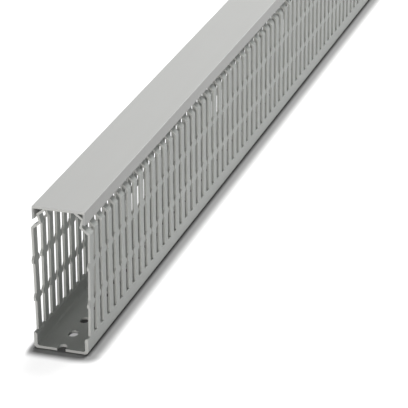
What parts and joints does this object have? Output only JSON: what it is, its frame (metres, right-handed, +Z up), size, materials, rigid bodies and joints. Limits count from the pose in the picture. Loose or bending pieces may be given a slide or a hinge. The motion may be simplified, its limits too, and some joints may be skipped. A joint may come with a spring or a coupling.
{
  "type": "slotted wire duct",
  "caption": "Straight length of narrow, tall slotted wiring duct: a channel with pinched side slots and headed fingers, closed by a flat clip-on cover.",
  "frame": {"origin": "on the floor's underside, under the middle of the duct's width and length", "axes": "+X across the duct, +Y along it away from the cut end that the picture shows, +Z up through the cover"},
  "size_m": [0.0322, 1, 0.08],
  "materials": {
    "duct_base": "light grey rigid PVC, satin, with fine extrusion lines",
    "cover": "light grey rigid PVC, satin"
  },
  "bodies": {
    "base": {"duct_base": "duct_base"},
    "lid": {"cover": "cover"}
  },
  "joints": [
    {"name": "cover_slide", "type": "slide", "parent": "base", "child": "lid", "axis": [0, 1, 0], "range_m": [-1.02, 1.02]}
  ]
}
